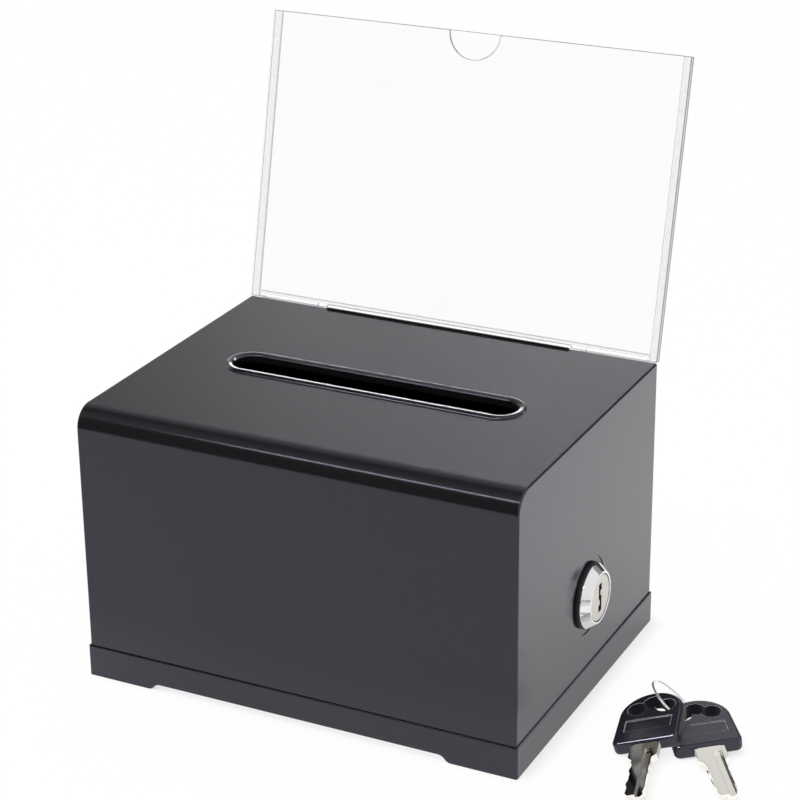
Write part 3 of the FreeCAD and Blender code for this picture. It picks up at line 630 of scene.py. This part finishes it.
# The heads stay out of reflections, so that the wall and the bezel beside them stay clear.
key_heads = []
for node, blade_node in (("key_1_head", "key_1_blade"), ("key_2_head", "key_2_blade")):
    head = cast(node, head_black, head_round)
    paint_inner_wall_shade(head)
    paint_side_shade_and_rim_highlight(head, blade_node)
    head.visible_glossy = False
    stand_for(head, node, "keys")
    key_heads.append(head)

# Key blades: stamped brass, milled with one groove on each side, cut on both edges and nickel plated.
# The upper key's sides get a darker copy of the nickel as a painted dark reflection; the cut edges and groove
# walls of both are bare and bright.
cut_nickel = plated("cut_nickel", (0.92, 0.89, 0.82), 0.14, 0.06)
# The number after each blade is its nickel's level; the first blade's low level is a painted dark reflection,
# not wear.
for node, level in (("key_1_blade", 0.32), ("key_2_blade", 0.95)):
    nickel = plated(node + "_nickel", (level, level * 0.97, level * 0.91), 0.08, 0.04)
    blade = cast(node, nickel, small_round)
    cut_edges(blade, cut_nickel)
    stand_for(blade, node, "keys")

# Key ring: a split ring of spring-steel wire, rolled flat and wound in nearly two turns that press together.
# It is threaded through an eye of each key and leans on their heads.
ring = Shaper("split_ring")
ring_radius = ring.size("Radius", 0.00907)
ring_height = ring.size("Lift", 0.00045)
ring_turns = ring.size("Turns", 1.92)
ring_wire = ring.size("Wire", 0.00045)
ring_drop = (0.0, 0.0, -0.000225)
ring_lean = (math.radians(41.04), 0.0, 0.0)
ring_turn = (0.0, 0.0, math.radians(117.22))
ring_place = (0.11114, -0.00243, 0.0065)
wire_flatness = (1.0, 0.5, 1.0)
coil = ring.node("GeometryNodeCurveSpiral", None, {
    "Resolution": 96, "Rotations": ring_turns, "Start Radius": ring_radius, "End Radius": ring_radius,
    "Height": ring_height, "Reverse": False})
section = ring.node("GeometryNodeCurvePrimitiveCircle", None, {"Resolution": 12, "Radius": ring_wire})
section = ring.node("GeometryNodeTransform", None, {"Geometry": section, "Scale": wire_flatness})
coil = ring.node("GeometryNodeSetCurveNormal", {"mode": "Z_UP"}, {"Curve": coil})
wire = ring.node("GeometryNodeCurveToMesh", None, {
    "Curve": coil, "Profile Curve": section, "Fill Caps": True})
wire = ring.node("GeometryNodeTransform", None, {"Geometry": wire, "Translation": ring_drop})
wire = ring.node("GeometryNodeTransform", None, {"Geometry": wire, "Rotation": ring_lean})
wire = ring.node("GeometryNodeTransform", None, {
    "Geometry": wire, "Rotation": ring_turn, "Translation": ring_place})
split_ring = ring.piece("key_ring_looks", wire, plated("ring_steel", (0.85, 0.85, 0.85), 0.1, 0.04))
stand_for(split_ring, "key_ring", "keys")

# Studio floor and backdrop: white paper that shows as white to the camera and in reflections. It keeps part
# of the object's own shadow, and more of it close to the sides that are turned away from the light.
light_side = {"X": -0.62, "Y": -0.5, "Z": 0.6}
shadow_reach = 0.006
shadow_depth = 0.45


def studio_white(name, seen_share, mirrored_share, mirrored_level):
    """White paper; the two shares say how much of it glows plain white to the eye and in gloss."""
    finish, surface, place = new_finish(name)
    tree = place.tree
    surface.inputs["Base Color"].default_value = (0.95, 0.95, 0.95, 1.0)
    surface.inputs["Roughness"].default_value = 1.0
    surface.inputs["Specular IOR Level"].default_value = 0.0
    rays = tree.nodes.new("ShaderNodeLightPath")
    seen = Shade(tree, rays.outputs["Is Camera Ray"]) + Shade(tree, rays.outputs["Is Transmission Ray"])
    seen = seen > 0.5
    glow = place.node("ShaderNodeEmission", None, {
        "Color": mix_colour(seen, (mirrored_level,) * 3, (1.0, 1.0, 1.0)), "Strength": 1.0})
    towards_light = place.node("ShaderNodeCombineXYZ", None, light_side)
    open_air = place.node("ShaderNodeAmbientOcclusion", {"samples": 12}, {
        "Distance": shadow_reach, "Normal": towards_light}, "AO")
    seen_share = seen_share - (1.0 - open_air) * shadow_depth
    mirrored = Shade(tree, rays.outputs["Is Glossy Ray"]) * (1.0 - seen)
    cover_with(place.node("ShaderNodeMixShader", None, {
        0: seen * seen_share + mirrored * mirrored_share, 1: Shade(tree, surface.outputs[0]), 2: glow}))
    return finish


def stage_sheet(name, corners, finish):
    """A flat sheet or board of the studio, given by its four corners."""
    mesh = bpy.data.meshes.new(name)
    mesh.from_pydata(corners, [], [(0, 1, 2, 3)])
    mesh.materials.append(finish)
    sheet = bpy.data.objects.new(name, mesh)
    bpy.context.scene.collection.objects.link(sheet)
    return sheet


def lying_sheet(name, x_low, x_high, y_low, y_high, height, finish):
    """A sheet or board that lies level."""
    near_edge = [(x_low, y_low, height), (x_high, y_low, height)]
    far_edge = [(x_high, y_high, height), (x_low, y_high, height)]
    return stage_sheet(name, near_edge + far_edge, finish)


far_out = 4
paper = studio_white("studio_paper", 0.965, 0.3, 1.6)
lying_sheet("studio_floor", -far_out, far_out, -far_out, far_out, 0, paper)
world = bpy.data.worlds.new("studio_air")
world.use_nodes = True
bpy.context.scene.world = world
backdrop = world.node_tree.nodes["Background"]
backdrop.inputs["Color"].default_value = (1.0, 1.0, 1.0, 1.0)
rays = world.node_tree.nodes.new("ShaderNodeLightPath")
eye = Shade(world.node_tree, rays.outputs["Is Camera Ray"])
eye = eye + Shade(world.node_tree, rays.outputs["Is Glossy Ray"])
eye = eye + Shade(world.node_tree, rays.outputs["Is Transmission Ray"])
feed(backdrop, "Strength", (eye > 0.5) * 0.5 + 0.5)

# Studio boards: dark boards round the white table that only reflections meet, with soft edges.
# They leave a white window behind the box, which its top mirrors, and keep the rounded edges dark.
board_tone = ((0.0, 0.05), (1.0, 0.05))


def dark_board(name, axis, low, high, stops, levels=board_tone):
    """Dark board whose cover and tone change along one axis, from low to high."""
    finish, _, place = new_finish(name)
    along = place.along(axis)
    board = place.node("ShaderNodeEmission", None, {"Color": along.ramp(low, high, levels), "Strength": 1.0})
    clear = place.node("ShaderNodeBsdfTransparent", None, {"Color": (1.0, 1.0, 1.0, 1.0)})
    cover_with(place.node("ShaderNodeMixShader", None, {0: along.ramp(low, high, stops), 1: clear, 2: board}))
    return finish


def standing_board(name, x_low, x_high, y, foot, top, finish):
    """A board that stands upright across the view."""
    corners = [(x_low, y, foot), (x_high, y, foot), (x_high, y, top), (x_low, y, top)]
    return stage_sheet(name, corners, finish)


overhead = dark_board(
    "overhead_board", (0, 1, 0), -1.7, 2.3,
    ((0.64, 1.0), (0.71, 0.85), (0.81, 0.5), (0.9, 0.15), (1.0, 0.0)),
    ((0.1, 0.04), (0.18, 0.25), (0.28, 0.3), (0.4, 0.1), (0.46, 0.06), (0.54, 0.4), (0.7, 0.5)))
window_left = dark_board(
    "window_left_board", (1, 0, 0), -1.6, -0.5,
    ((0.05, 1.0), (0.5, 0.5), (0.61, 0.3), (0.73, 0.22), (0.83, 0.12), (0.9, 0.0)))
window_right = dark_board(
    "window_right_board", (1, 0, 0), -0.35, 1.15,
    ((0.017, 0.0), (0.133, 1.0)),
    ((0.0, 0.05), (0.55, 0.05), (0.72, 0.35)))
table_end = dark_board(
    "table_end_board", (0, 1, 0), -0.46, -0.06,
    ((0.0, 1.0), (0.25, 0.36), (0.9, 0.3), (1.0, 0.0)))
ceiling = 1.25
table_level = 0.001
boards = (
    lying_sheet("board_over", -far_out, 0.2, -far_out, 2.3, ceiling, overhead),
    standing_board("board_left", -far_out, -0.5, 1.6, 0.5, ceiling, window_left),
    standing_board("board_right", -0.5, far_out, 1.6, table_level, ceiling, window_right),
    lying_sheet("board_table", -far_out, far_out, -far_out, -0.06, table_level, table_end),
    standing_board("board_front", -far_out, 0.6, -2.5, table_level, 1.3, table_end),
)
for board in boards:
    board.visible_camera = False
    board.visible_diffuse = False
    board.visible_transmission = False
    board.visible_shadow = False

# Lamps: a large soft lamp above the left, a long narrow one in front that draws the line of light along the
# cover's round edge, and a low one far behind that catches the rims. Four smaller lamps are screened off
# from all but the slot's rim, the base at the seam, or the key heads.


def soft_lamp(name, place, aim, size, power, mirrored):
    """A rectangular lamp turned to its aim; mirrored says whether gloss shows it."""
    lamp = bpy.data.lights.new(name, "AREA")
    lamp.shape = "RECTANGLE"
    lamp.size, lamp.size_y = size
    lamp.energy = power
    item = bpy.data.objects.new(name, lamp)
    item.location = place
    item.rotation_euler = (Vector(aim) - Vector(place)).to_track_quat("-Z", "Y").to_euler()
    item.visible_glossy = mirrored
    bpy.context.scene.collection.objects.link(item)
    return item


def only_on(lamp, pieces):
    """Screens a lamp off from everything but some pieces."""
    group = bpy.data.collections.new(lamp.name + "_pieces")
    for piece in pieces:
        group.objects.link(piece)
    lamp.light_linking.receiver_collection = group


box_middle = (0, 0, 0.1)
soft_lamp("soft_lamp", (-0.45, -0.25, 2.2), (0, 0, 0.05), (2.0, 2.0), 36.0, False)
soft_lamp("line_lamp", (-0.1, -0.75, 0.94), (-0.1, 0, 0.09), (1.0, 0.06), 2.0, True)
soft_lamp("rim_lamp", (-0.85, 1.85, 0.28), box_middle, (1.3, 0.35), 3.6, True)
slot_lamp = soft_lamp("slot_lamp", (-1.0, 1.84, 0.6), box_middle, (1.0, 0.35), 7.0, True)
only_on(slot_lamp, [slot_rim])
slot_end_lamp = soft_lamp("slot_end_lamp", (0.65, 1.55, 0.9), box_middle, (0.9, 0.9), 24.0, True)
only_on(slot_end_lamp, [slot_rim])
seam_lamp = soft_lamp("seam_lamp", (0.7, 1.55, 0.9), (0, 0, 0), (0.7, 0.6), 5.0, True)
only_on(seam_lamp, [base])
key_lamp = soft_lamp("key_lamp", (-0.25, -0.45, 0.85), (0.13, -0.03, 0), (0.6, 0.6), 26.0, True)
only_on(key_lamp, key_heads)

# Camera: at the photograph's place and turned as it was, both fitted to the edges of the box and of the sign.
# The lens is given for a sensor 36 mm wide.
camera_data = bpy.data.cameras.new("camera")
camera_data.sensor_width = 36.0
camera_data.sensor_fit = "HORIZONTAL"
camera_data.lens = 109.455
camera_data.clip_start = 0.01
camera = bpy.data.objects.new("camera", camera_data)
right = Vector((0.89713, 0.44166, -0.00942))
up = Vector((-0.16453, 0.35385, 0.92072))
back = Vector((0.40997, -0.82446, 0.39012))
stand = Vector((0.342779, -0.668449, 0.411987))
camera.matrix_world = Matrix((
    (right.x, up.x, back.x, stand.x),
    (right.y, up.y, back.y, stand.y),
    (right.z, up.z, back.z, stand.z),
    (0, 0, 0, 1),
))
bpy.context.scene.collection.objects.link(camera)
bpy.context.scene.camera = camera

bpy.context.scene.view_settings.view_transform = "Standard"
